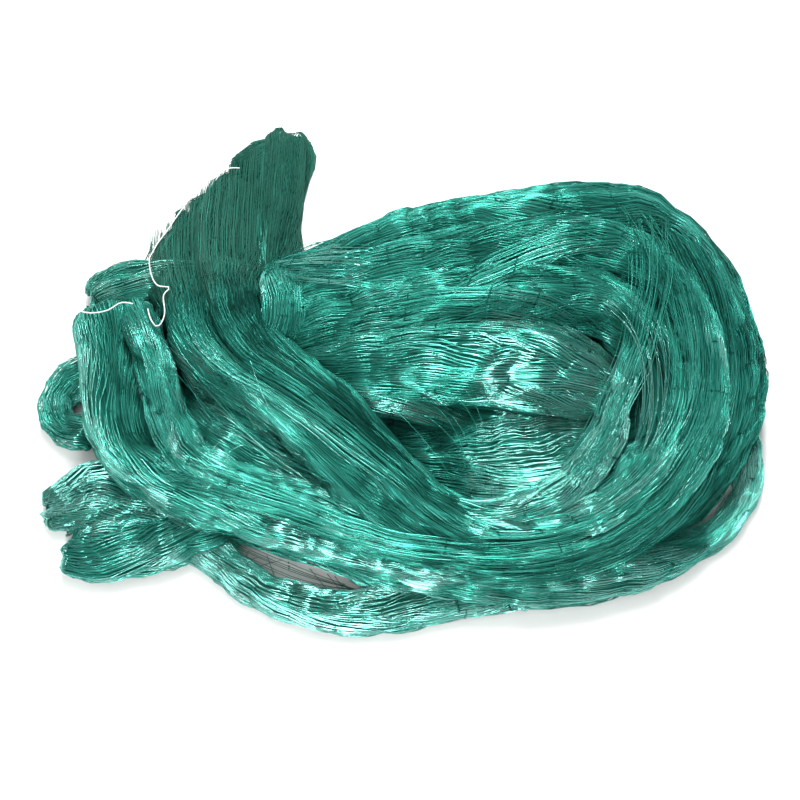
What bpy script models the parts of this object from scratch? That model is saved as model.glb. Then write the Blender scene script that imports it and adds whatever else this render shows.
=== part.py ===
"""A heap of green nylon fishing net, lying on a table.

One uncut piece of monofilament netting is bunched into skeins and thrown down
in an oval loop.  A flattened loose end fans out at the back left, a folded
hank hangs over at the left, and two white threads lie on top.

Frame: metres, +X along the heap, +Y away from the front, +Z up.  The origin
is on the table, under the middle of the heap.
"""

import math
from collections import namedtuple

import bmesh
import bpy
from mathutils import Vector
from mathutils.bvhtree import BVHTree

MM = 0.001

# The middle of the laid-out skeins, which the whole heap is moved by so that
# its origin is under the middle of its box.
HEAP_MIDDLE = Vector((1.2, 18.0, 0.0))

# How a skein is faceted: corners round each ring, and millimetres from ring to
# ring and from a blunt end to the first ring.
SIDES_ROUND = 16
RING_SPACING = 17.0
FEWEST_RINGS = 6
END_RING = 1.6

# The form of a skein: the last millimetres over which its ends round off, the
# power that squares its section, the share of its width by which every second
# corner stands out as a pleat, and the pleats' twist in degrees per 100 mm.
END_ROUNDING = 7.0
SQUARENESS = 0.85
PLEAT_DEPTH = 0.045
TWIST = 22.0

# Places tried between two rows of a table when its curve is measured, and the
# part of a row's spacing over which its direction is taken.
FINE_STEPS = 24
LOOK_AHEAD = 0.02

# What is cut away under the heap: a block with its top at the table.
TABLE_CUT = Vector((700.0, 600.0, 60.0))

# The threads: millimetres of diameter, of air under them, and between the
# points of their routes; and how many points to each side even out a height.
THREAD_DIAMETER = 1.0
THREAD_CLEARANCE = 0.35
THREAD_STEP = 2.4
THREAD_EASE = 3
THREAD_BEVEL = 2

# The height that the netting under a thread is looked for from, and how many
# thread diameters round the thread's middle it is looked for.
LOOK_DOWN_FROM = 200.0
LOOK_ROUND = 0.8

# One row is one section across a skein of bunched netting, in millimetres:
# where its middle lies, and how wide and thick the bunch is there.
Section = namedtuple("Section", "x y z wide thick")

SKEINS = {
    # The bulk of the netting under everything else.
    "heart": (
        # x    y   z  wide thick
        (-66, 22, 14, 60, 38),
        (-20, 12, 16, 120, 44),
        (40, 2, 18, 170, 46),
        (100, 0, 18, 176, 46),
        (148, 4, 16, 132, 42),
        (182, 4, 12, 66, 34),
    ),
    # The outermost bight of the oval: along the back and down the right side.
    "crown": (
        (-76, 56, 22, 34, 48),
        (-46, 62, 28, 42, 56),
        (-10, 75, 32, 48, 64),
        (30, 85, 33, 50, 66),
        (70, 92, 33, 50, 66),
        (110, 99, 33, 50, 64),
        (146, 96, 31, 48, 62),
        (174, 72, 29, 46, 58),
        (190, 38, 27, 44, 54),
        (198, 4, 25, 44, 50),
        (197, -26, 22, 36, 44),
        (185, -54, 19, 26, 36),
        (162, -80, 18, 22, 32),
        (132, -99, 18, 20, 28),
        (100, -108, 19, 16, 24),
    ),
    # The second bight, inside the first and a little higher.
    "shoulder": (
        (-78, 38, 28, 32, 44),
        (-46, 46, 37, 42, 54),
        (-10, 56, 43, 48, 58),
        (30, 64, 46, 48, 60),
        (70, 70, 47, 48, 60),
        (108, 73, 46, 46, 58),
        (140, 66, 44, 44, 56),
        (164, 44, 42, 38, 54),
        (176, 12, 40, 36, 52),
        (175, -24, 37, 34, 50),
        (163, -56, 34, 30, 46),
        (138, -86, 31, 28, 42),
        (106, -102, 29, 26, 40),
        (70, -109, 28, 25, 38),
        (34, -107, 28, 25, 36),
        (2, -95, 28, 24, 34),
    ),
    # The third bight, which is the top of the heap.
    "saddle": (
        (-66, 20, 36, 34, 42),
        (-32, 27, 44, 42, 50),
        (10, 34, 50, 46, 54),
        (50, 40, 53, 46, 54),
        (90, 42, 53, 44, 54),
        (122, 36, 51, 38, 50),
        (146, 14, 47, 32, 48),
        (155, -14, 44, 30, 46),
        (149, -48, 42, 28, 44),
        (128, -79, 40, 28, 42),
        (97, -96, 38, 26, 40),
        (62, -100, 36, 26, 40),
        (28, -92, 36, 26, 38),
        (0, -72, 36, 26, 36),
    ),
    # The band over the pocket, which ends under the inner bight.
    "brow": (
        (-58, 2, 34, 32, 38),
        (-24, 3, 43, 46, 46),
        (18, 7, 49, 52, 48),
        (58, 9, 51, 54, 48),
        (94, 5, 48, 54, 44),
        (126, -2, 40, 44, 38),
    ),
    # The lower lip of that band, which turns down into the pocket.
    "lip": (
        (-56, -6, 32, 28, 34),
        (-28, -12, 41, 34, 34),
        (0, -17, 43, 32, 32),
        (26, -22, 36, 28, 28),
        (48, -28, 26, 24, 24),
    ),
    # The netting on the floor of the pocket.
    "pocket": (
        (0, -42, 22, 46, 40),
        (36, -40, 28, 76, 42),
        (75, -38, 30, 84, 42),
        (110, -36, 28, 74, 40),
        (136, -32, 22, 50, 34),
    ),
    # The inner bight, laid over the ends of the bands.
    "inner": (
        (150, 78, 48, 22, 28),
        (149, 44, 54, 28, 32),
        (142, 10, 54, 28, 34),
        (132, -24, 51, 28, 34),
        (116, -54, 48, 28, 34),
        (92, -75, 45, 26, 32),
        (64, -83, 43, 25, 32),
        (38, -78, 41, 25, 30),
        (14, -60, 40, 24, 30),
        (-10, -36, 38, 24, 28),
    ),
    # The thin netting of the flattened loose end, with a slanting ragged edge.
    "fan_sheet": (
        (-72, 180, 3, 30, 7),
        (-82, 164, 3, 52, 7),
        (-94, 146, 3, 74, 8),
        (-101, 122, 4, 84, 10),
        (-108, 98, 6, 92, 14),
        (-106, 70, 10, 84, 22),
    ),
    # The right fold of the flattened loose end, which goes under the heap.
    "fan_right": (
        (-71, 183, 4, 32, 10),
        (-73, 150, 5, 36, 12),
        (-76, 118, 7, 38, 16),
        (-79, 88, 10, 36, 22),
        (-82, 60, 13, 32, 28),
        (-82, 36, 16, 28, 32),
    ),
    # Its middle fold, which climbs over and becomes the slanting band.
    "fan_middle": (
        (-103, 162, 4, 32, 10),
        (-105, 136, 6, 48, 15),
        (-106, 102, 11, 52, 26),
        (-105, 72, 18, 44, 42),
        (-101, 46, 28, 38, 54),
        (-91, 22, 38, 34, 54),
        (-69, -3, 48, 32, 46),
        (-41, -27, 51, 32, 44),
        (-13, -56, 48, 30, 44),
        (16, -84, 40, 28, 42),
        (52, -103, 32, 26, 38),
        (92, -110, 26, 22, 32),
    ),
    # Its left fold, which is the lower half of the slanting band.
    "fan_left": (
        (-134, 130, 4, 20, 10),
        (-137, 110, 5, 36, 14),
        (-138, 84, 9, 46, 24),
        (-134, 54, 18, 42, 40),
        (-127, 26, 28, 36, 50),
        (-111, 4, 36, 32, 48),
        (-86, -15, 42, 31, 44),
        (-60, -37, 43, 31, 44),
        (-34, -63, 40, 30, 42),
        (-9, -88, 34, 29, 40),
        (22, -106, 28, 26, 34),
        (62, -115, 23, 22, 30),
    ),
    # The layer turned over behind the left hank.
    "back_fold": (
        (-193, 55, 10, 28, 22),
        (-175, 65, 11, 36, 26),
        (-148, 67, 12, 36, 28),
        (-120, 62, 14, 34, 30),
        (-96, 50, 16, 30, 34),
    ),
    # The left hank, then the outermost turn along the front to the right.
    "hank": (
        (-177, 46, 22, 48, 46),
        (-173, 28, 25, 47, 52),
        (-170, 0, 26, 44, 54),
        (-167, -25, 25, 42, 52),
        (-157, -46, 24, 40, 50),
        (-136, -64, 23, 34, 46),
        (-110, -77, 22, 32, 44),
        (-83, -90, 21, 28, 38),
        (-53, -99, 20, 27, 36),
        (-20, -109, 20, 28, 36),
        (17, -116, 19, 29, 36),
        (58, -119, 17, 30, 36),
        (100, -118, 15, 30, 34),
        (135, -110, 14, 28, 30),
        (155, -104, 12, 24, 26),
        (174, -96, 9, 17, 20),
        (193, -83, 8, 13, 18),
        (205, -65, 8, 13, 18),
        (209, -44, 10, 14, 20),
        (204, -24, 12, 14, 22),
    ),
    # The fold along the right edge of the hank, and the band it runs into.
    "rib": (
        (-154, 46, 24, 32, 44),
        (-149, 22, 30, 36, 56),
        (-142, -4, 30, 34, 58),
        (-135, -29, 29, 34, 56),
        (-117, -53, 27, 32, 52),
        (-86, -68, 26, 31, 48),
        (-53, -80, 26, 30, 44),
        (-20, -96, 26, 28, 40),
        (14, -109, 24, 25, 36),
        (56, -115, 21, 20, 30),
    ),
    # The netting low in the hollow between the hank and the slanting band.
    "hollow": (
        (-136, -2, 10, 34, 26),
        (-110, -18, 14, 46, 34),
        (-84, -32, 16, 48, 36),
        (-58, -48, 17, 44, 36),
        (-30, -68, 18, 36, 34),
    ),
    # The small loop that sticks out of the hank to the left.
    "loop": (
        (-180, 7, 10, 15, 22),
        (-198, 6, 9, 16, 21),
        (-209, -7, 9, 16, 20),
        (-205, -22, 9, 16, 20),
        (-184, -28, 10, 16, 22),
    ),
    # Two bights that stick out at the front left.
    "bight_upper": (
        (-217, -73, 5, 18, 12),
        (-202, -72, 7, 30, 16),
        (-180, -65, 9, 44, 22),
        (-149, -68, 9, 46, 24),
        (-116, -80, 10, 36, 26),
    ),
    "bight_lower": (
        (-200, -98, 7, 28, 16),
        (-181, -101, 8, 36, 20),
        (-153, -96, 9, 38, 24),
        (-124, -87, 10, 34, 26),
        (-94, -82, 11, 28, 28),
    ),
    # The thin band along the front edge, under the see-through place.
    "hem": (
        (-146, -89, 7, 22, 18),
        (-122, -94, 7, 24, 19),
        (-97, -110, 7, 22, 19),
        (-73, -125, 7, 22, 18),
        (-39, -134, 7, 26, 18),
        (-4, -133, 8, 28, 20),
        (31, -126, 9, 28, 22),
        (75, -120, 10, 26, 24),
    ),
}

# One row is one point of a thread's way over the netting, in millimetres.

THREADS = {
    "edge_thread": (
        # x     y
        (-103, 153),
        (-111, 152),
        (-120, 144),
        (-129, 143),
        (-134, 132),
        (-141, 118),
        (-148, 105),
        (-153, 95),
        (-155, 83),
        (-153, 70),
        (-147, 58),
        (-139, 54),
        (-142, 48),
        (-140, 34),
        (-143, 24),
        (-147, 28),
        (-150, 37),
    ),
    "fold_thread": (
        (-190, 36),
        (-184, 34),
        (-175, 37),
        (-167, 42),
        (-159, 40),
    ),
}

NETTING_GREEN = (0.022, 0.215, 0.168, 1.0)
NETTING_ROUGHNESS = 0.32
THREAD_WHITE = (0.84, 0.85, 0.82, 1.0)
THREAD_ROUGHNESS = 0.6


def clear_scene():
    """Empty the scene of whatever the file opened with."""
    for old in list(bpy.data.objects):
        bpy.data.objects.remove(old, do_unlink=True)


def collection(name):
    """A new collection in the scene."""
    made = bpy.data.collections.new(name)
    bpy.context.scene.collection.children.link(made)
    return made


def material(name, colour, roughness):
    """A plain Principled finish."""
    made = bpy.data.materials.new(name)
    made.use_nodes = True
    shader = made.node_tree.nodes["Principled BSDF"]
    shader.inputs["Base Color"].default_value = colour
    shader.inputs["Roughness"].default_value = roughness
    shader.inputs["Metallic"].default_value = 0.0
    return made


def between(rows, at):
    """Every column of a table at a place between its rows, on a smooth curve."""
    last = len(rows) - 1
    at = min(max(at, 0.0), float(last))
    start = min(int(at), last - 1)
    t = at - start
    before = rows[max(start - 1, 0)]
    here = rows[start]
    there = rows[start + 1]
    after = rows[min(start + 2, last)]
    found = []
    for a, b, c, d in zip(before, here, there, after):
        found.append(
            0.5 * (2 * b + (c - a) * t + (2 * a - 5 * b + 4 * c - d) * t * t
                   + (3 * b - a - 3 * c + d) * t * t * t)
        )
    return found


def measured(rows):
    """Places all along a table's curve, and how far along it each of them is."""
    fine = FINE_STEPS * (len(rows) - 1)
    marks = [i * (len(rows) - 1) / fine for i in range(fine + 1)]
    points = [Vector(between(rows, mark)[:3]) for mark in marks]
    run = [0.0]
    for a, b in zip(points, points[1:]):
        run.append(run[-1] + (b - a).length)
    return marks, run


def place_at(rows, wanted):
    """The place in a table that is this far along its curve."""
    marks, run = measured(rows)
    at = 0
    while at < len(run) - 2 and run[at + 1] < wanted:
        at += 1
    share = (wanted - run[at]) / max(run[at + 1] - run[at], 1e-9)
    return marks[at] + min(max(share, 0.0), 1.0) * (marks[at + 1] - marks[at])


def ring_run(ring, rings, length):
    """How far along a skein a ring lies: evenly spaced, but close at the blunt ends."""
    if ring in (0, rings):
        return length * ring / rings
    inner = length - 2 * END_RING
    return END_RING + inner * (ring - 1) / (rings - 2)


def squared(wave):
    """A wave with fuller shoulders, which makes a round section a little square."""
    return math.copysign(abs(wave) ** SQUARENESS, wave)


def skein_mesh(name, rows):
    """A ball drawn out along its table of sections into a bunch of netting."""
    length = measured(rows)[1][-1]
    rings = max(FEWEST_RINGS, round(length / RING_SPACING) + 2)
    places = [place_at(rows, ring_run(ring, rings, length)) for ring in range(rings + 1)]
    bm = bmesh.new()
    bmesh.ops.create_uvsphere(bm, u_segments=SIDES_ROUND, v_segments=rings, radius=1.0)
    for vert in bm.verts:
        ball = vert.co.copy()
        ring = round(rings * math.acos(max(-1.0, min(1.0, ball.z))) / math.pi)
        at = places[ring]
        section = Section(*between(rows, at))
        onward = Vector(between(rows, at + LOOK_AHEAD)[:3])
        ahead = (onward - Vector(between(rows, at - LOOK_AHEAD)[:3])).normalized()
        side = ahead.cross(Vector((0.0, 0.0, 1.0))).normalized()
        up = side.cross(ahead)
        run = ring_run(ring, rings, length)
        to_end = min(run, length - run)
        full = math.sqrt(max(0.0, 1.0 - (1.0 - min(to_end / END_ROUNDING, 1.0)) ** 2))
        angle = math.atan2(ball.y, ball.x)
        pleat = 1.0 + PLEAT_DEPTH * math.cos(angle * SIDES_ROUND / 2)
        angle += math.radians(TWIST) * run / 100.0
        reach = full * pleat
        middle = Vector((section.x, section.y, section.z)) - HEAP_MIDDLE
        across = side * (squared(math.cos(angle)) * section.wide / 2 * reach)
        upward = up * (squared(math.sin(angle)) * section.thick / 2 * reach)
        vert.co = (middle + across + upward) * MM
    bmesh.ops.recalc_face_normals(bm, faces=bm.faces)
    mesh = bpy.data.meshes.new(name)
    bm.to_mesh(mesh)
    bm.free()
    return mesh


def hidden(obj, group):
    """Keep a cutter or a guide out of the part."""
    group.objects.link(obj)
    obj.hide_render = True
    obj.display_type = "WIRE"


def boolean(obj, name, operation):
    """A Boolean modifier that keeps faceted surfaces exact."""
    made = obj.modifiers.new(name, "BOOLEAN")
    made.operation = operation
    made.solver = "EXACT"
    return made


def shells(bm):
    """The surfaces of a mesh that no edge joins to one another, largest first."""
    waiting = set(bm.faces)
    found = []
    while waiting:
        shell = [waiting.pop()]
        for face in shell:
            for edge in face.edges:
                for other in edge.link_faces:
                    if other in waiting:
                        waiting.remove(other)
                        shell.append(other)
        found.append(shell)
    return sorted(found, key=len, reverse=True)


def keep_outer_shell(obj):
    """Apply the modifiers and fill the small hollows shut in between the skeins."""
    evaluated = obj.evaluated_get(bpy.context.evaluated_depsgraph_get())
    mesh = bpy.data.meshes.new_from_object(evaluated)
    obj.modifiers.clear()
    obj.data = mesh
    bm = bmesh.new()
    bm.from_mesh(mesh)
    for shell in shells(bm)[1:]:
        bmesh.ops.delete(bm, geom=shell, context="FACES")
    loose = [vert for vert in bm.verts if not vert.link_faces]
    bmesh.ops.delete(bm, geom=loose, context="VERTS")
    along_an_edge = [vert for vert in bm.verts if len(vert.link_edges) == 2]
    bmesh.ops.dissolve_verts(bm, verts=along_an_edge)
    bm.to_mesh(mesh)
    bm.free()


def make_netting(parts, cutters, skeins):
    """All the skeins joined into one body and cut flat where it lies on the table."""
    netting = bpy.data.objects.new("netting", skein_mesh("netting", SKEINS["heart"]))
    parts.objects.link(netting)
    for name, rows in SKEINS.items():
        if name != "heart":
            hidden(bpy.data.objects.new(name, skein_mesh(name, rows)), skeins)
    join = boolean(netting, "join_skeins", "UNION")
    join.operand_type = "COLLECTION"
    join.collection = skeins

    bm = bmesh.new()
    bmesh.ops.create_cube(bm, size=1.0)
    bmesh.ops.scale(bm, vec=TABLE_CUT * MM, verts=bm.verts)
    bmesh.ops.translate(bm, vec=Vector((0.0, 0.0, -TABLE_CUT.z / 2 * MM)), verts=bm.verts)
    mesh = bpy.data.meshes.new("table_top")
    bm.to_mesh(mesh)
    bm.free()
    table_top = bpy.data.objects.new("table_top", mesh)
    hidden(table_top, cutters)
    boolean(netting, "lie_flat", "DIFFERENCE").object = table_top

    keep_outer_shell(netting)
    netting.data.materials.clear()
    netting.data.materials.append(material("green_nylon", NETTING_GREEN, NETTING_ROUGHNESS))
    return netting


def height_under(tree, x, y):
    """The highest netting under a thread's width at a place, in millimetres."""
    tops = [0.0]
    reach = THREAD_DIAMETER * LOOK_ROUND
    for dx, dy in ((0, 0), (reach, 0), (-reach, 0), (0, reach), (0, -reach)):
        above = Vector((x + dx, y + dy, LOOK_DOWN_FROM)) * MM
        hit = tree.ray_cast(above, Vector((0.0, 0.0, -1.0)))[0]
        if hit is not None:
            tops.append(hit.z / MM)
    return max(tops)


def thread_route(tree, rows):
    """Points along a thread, laid on top of the netting."""
    rows = [(x, y, 0.0) for x, y in rows]
    length = measured(rows)[1][-1]
    count = round(length / THREAD_STEP)
    under = []
    for i in range(count + 1):
        spot = Vector(between(rows, place_at(rows, length * i / count))) - HEAP_MIDDLE
        under.append(Vector((spot.x, spot.y, height_under(tree, spot.x, spot.y))))
    points = []
    for i, spot in enumerate(under):
        near = sorted(other.z for other in under[max(i - THREAD_EASE, 0):i + THREAD_EASE + 1])
        higher_half = near[len(near) // 2:]
        height = max(spot.z, sum(higher_half) / len(higher_half))
        points.append(Vector((spot.x, spot.y, height + THREAD_CLEARANCE + THREAD_DIAMETER / 2)))
    return points


def make_thread(parts, name, rows, tree, finish):
    """A white thread laid over the netting, as a tube along its route."""
    curve = bpy.data.curves.new(name, "CURVE")
    curve.dimensions = "3D"
    curve.bevel_depth = THREAD_DIAMETER / 2 * MM
    curve.bevel_resolution = THREAD_BEVEL
    curve.use_fill_caps = True
    points = thread_route(tree, rows)
    spline = curve.splines.new("POLY")
    spline.points.add(len(points) - 1)
    for spot, point in zip(spline.points, points):
        spot.co = (*(point * MM), 1.0)
    curve.materials.append(finish)
    parts.objects.link(bpy.data.objects.new(name, curve))


def build():
    """The whole heap, with its threads."""
    clear_scene()
    parts = collection("fishing_net")
    cutters = collection("cutters")
    skeins = collection("skeins")
    netting = make_netting(parts, cutters, skeins)
    tree = BVHTree.FromObject(netting, bpy.context.evaluated_depsgraph_get())
    thread_white = material("white_thread", THREAD_WHITE, THREAD_ROUGHNESS)
    for name, rows in THREADS.items():
        make_thread(parts, name, rows, tree, thread_white)


build()
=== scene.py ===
import math

import bpy
import numpy as np
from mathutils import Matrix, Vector
from mathutils.bvhtree import BVHTree


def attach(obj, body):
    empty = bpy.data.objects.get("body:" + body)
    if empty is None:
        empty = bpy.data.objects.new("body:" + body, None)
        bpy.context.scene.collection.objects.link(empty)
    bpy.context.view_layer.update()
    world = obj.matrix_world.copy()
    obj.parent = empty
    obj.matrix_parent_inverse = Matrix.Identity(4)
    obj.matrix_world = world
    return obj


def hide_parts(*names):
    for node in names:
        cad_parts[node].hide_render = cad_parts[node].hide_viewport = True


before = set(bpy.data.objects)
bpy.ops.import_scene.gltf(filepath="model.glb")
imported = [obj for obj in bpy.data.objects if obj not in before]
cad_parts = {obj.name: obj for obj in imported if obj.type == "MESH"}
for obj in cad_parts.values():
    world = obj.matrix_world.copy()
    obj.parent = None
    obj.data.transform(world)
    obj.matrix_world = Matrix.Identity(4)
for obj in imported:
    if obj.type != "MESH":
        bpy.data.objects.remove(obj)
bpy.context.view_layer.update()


# ---------------------------------------------------------------- the table
# The heap lies on a plain pale table top, in soft daylight that comes from
# beyond it, and it is looked at from nearly straight above.

TABLE_SIZE = 6.0
LOOK_AT = Vector((-0.0012, -0.029, 0.025))
LOOK_DISTANCE = 1.0
LOOK_ELEVATION = math.radians(70.0)
LOOK_LENS = 75.0
ROOM_COLOUR = (0.93, 0.96, 1.0, 1.0)
ROOM_LIGHT = 0.11


class Wire:
    """An output socket of a material's nodes, which sums can be written with."""

    def __init__(self, tree, socket):
        self.tree = tree
        self.socket = socket

    def sum_of(self, operation, left, right):
        node = self.tree.nodes.new("ShaderNodeMath")
        node.operation = operation
        for end, value in zip(node.inputs, (left, right)):
            if isinstance(value, Wire):
                self.tree.links.new(value.socket, end)
            else:
                end.default_value = value
        return Wire(self.tree, node.outputs[0])

    def __add__(self, other):
        return self.sum_of("ADD", self, other)

    def __radd__(self, other):
        return self.sum_of("ADD", other, self)

    def __sub__(self, other):
        return self.sum_of("SUBTRACT", self, other)

    def __rsub__(self, other):
        return self.sum_of("SUBTRACT", other, self)

    def __mul__(self, other):
        return self.sum_of("MULTIPLY", self, other)

    def __rmul__(self, other):
        return self.sum_of("MULTIPLY", other, self)


class Finish:
    """A material that is built up from nodes round one Principled shader."""

    def __init__(self, name, **constants):
        self.material = bpy.data.materials.new(name)
        self.material.use_nodes = True
        self.tree = self.material.node_tree
        self.shader = self.tree.nodes["Principled BSDF"]
        for socket, value in constants.items():
            self.shader.inputs[socket.replace("_", " ")].default_value = value

    def node(self, kind, output=0, settings=(), stops=(), **inputs):
        """Adds a node, sets it up, fills its inputs and gives one of its outputs."""
        node = self.tree.nodes.new(kind)
        for name, value in dict(settings).items():
            setattr(node, name, value)
        if stops:
            # A new ramp has a stop at each end, and the first two given are those two.
            ramp = node.color_ramp.elements
            ready = list(ramp)
            for i, (place, colour) in enumerate(stops):
                stop = ready[i] if i < len(ready) else ramp.new(place)
                stop.position = place
                stop.color = (*colour, 1.0)
        for name, value in inputs.items():
            end = node.inputs[int(name[1:])] if name[1:].isdigit() else node.inputs[name]
            if isinstance(value, Wire):
                self.tree.links.new(value.socket, end)
            else:
                end.default_value = value
        return Wire(self.tree, node.outputs[output])

    def feed(self, socket, wire):
        self.tree.links.new(wire.socket, self.shader.inputs[socket])


bpy.ops.object.select_all(action="DESELECT")
bpy.ops.mesh.primitive_plane_add(size=TABLE_SIZE)
table_top = bpy.context.object
table_top.name = "table_top"
table_paint = Finish("pale_table", Base_Color=(0.92, 0.92, 0.91, 1.0), Roughness=0.7)
table_top.data.materials.append(table_paint.material)

LAMPS = (
    # name      from (m)            wide, long (m)  watts
    ("window", (0.05, 0.95, 1.16), (0.34, 1.7), 46.0),
    ("front", (-0.3, -1.05, 0.95), (0.25, 0.6), 13.0),
    ("ceiling", (-0.3, -0.3, 1.6), (1.4, 1.4), 12.0),
)
for name, place, (wide, long), watts in LAMPS:
    lamp = bpy.data.lights.new(name, "AREA")
    lamp.shape = "RECTANGLE"
    lamp.size = wide
    lamp.size_y = long
    lamp.energy = watts
    lamp_object = bpy.data.objects.new(name, lamp)
    lamp_object.location = place
    lamp_object.rotation_mode = "QUATERNION"
    lamp_object.rotation_quaternion = (-Vector(place)).to_track_quat("-Z", "Y")
    bpy.context.scene.collection.objects.link(lamp_object)

room = bpy.data.worlds.new("room")
room.use_nodes = True
room.node_tree.nodes["Background"].inputs["Color"].default_value = ROOM_COLOUR
room.node_tree.nodes["Background"].inputs["Strength"].default_value = ROOM_LIGHT
bpy.context.scene.world = room
bpy.context.scene.view_settings.view_transform = "Standard"

back = Vector((0.0, -math.cos(LOOK_ELEVATION), math.sin(LOOK_ELEVATION)))
camera = bpy.data.cameras.new("camera")
camera.lens = LOOK_LENS
camera_object = bpy.data.objects.new("camera", camera)
camera_object.location = LOOK_AT + back * LOOK_DISTANCE
camera_object.rotation_mode = "QUATERNION"
camera_object.rotation_quaternion = (-back).to_track_quat("-Z", "Y")
bpy.context.scene.collection.objects.link(camera_object)
bpy.context.scene.camera = camera_object


# ---------------------------------------------------------------- the heart
# The bulk of the netting under everything else. The net is knotted from fine
# green nylon monofilament, and it lies stretched out lengthways and bunched
# up, so its strands run side by side along each bunch.

MM = 0.001
HEAP_MIDDLE = np.array((1.2, 18.0, 0.0))
MESH_ROW = 27.0

# How a bunch's outline is rounded, and how high its hanks and bellies stand.
ROUTE_POINTS = 40
END_ROUNDING = 7.0
END_WIDTH = 0.7
SQUARENESS = 0.85
GROOVE_EASE = 18.0
RAGGED_FOR = 40.0
HANK_HEIGHT = 1.3
BELLY = 1.3
LAYER_AHEAD = 0.37

# What differs from place to place on a bunch: the number it is drawn with, its
# height, and how far one hill of it reaches across and along the bunch.
HILLS = {
    "hanks": (1, 1.0, 13.0, 110.0),
    "skeins": (2, 0.5, 5.0, 60.0),
    "notches": (5, 1.0, 6.0, 400.0),
    "bites": (6, 1.0, 400.0, 9.0),
    "sway": (10, 6.0, 30.0, 90.0),
    "wander": (20, 0.6, 6.0, 50.0),
    "swell": (30, 1.0, 8.0, 70.0),
    "ripple": (40, 0.4, 3.0, 40.0),
    "rows ahead": (50, 0.7, 24.0, 130.0),
}
HILL_SPREAD = 1.6
HILL_MARGIN = 30.0
LEAST_HILLS = 3

# The same for what changes with every row of meshes, so it has no length.
ROW_HILLS = {
    "belly": (60, 1.2, 14.0),
    "gather": (70, 1.2, 11.0),
    "part": (80, 0.5, 3.5),
    "knots": (90, 1.0, 5.0),
    "shade": (100, 0.22, 12.0),
}
ROW_HILL_SPREAD = 1.3
ROWS_BEYOND = 4


def blended(t):
    """Eases a share from 0 to 1, level at both ends."""
    return t * t * (3 - 2 * t)


def curve_through(rows, per_row):
    """A smooth curve through the rows of a table, this many points to a row."""
    table = np.array(rows, float)
    last = len(table) - 1
    at = np.linspace(0.0, last, per_row * last + 1)
    start = np.minimum(at.astype(int), last - 1)
    t = (at - start)[:, None]
    a = table[np.maximum(start - 1, 0)]
    b = table[start]
    c = table[start + 1]
    d = table[np.minimum(start + 2, last)]
    return 0.5 * (
        2 * b + (c - a) * t + (2 * a - 5 * b + 4 * c - d) * t**2
        + (3 * b - a - 3 * c + d) * t**3
    )


def along_it(value, s):
    """A value that is the same all along, or the steps it goes through by millimetres."""
    if isinstance(value, tuple):
        places, values = zip(*value)
        return np.interp(s, places, values)
    return np.full(np.shape(s), value)


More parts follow.
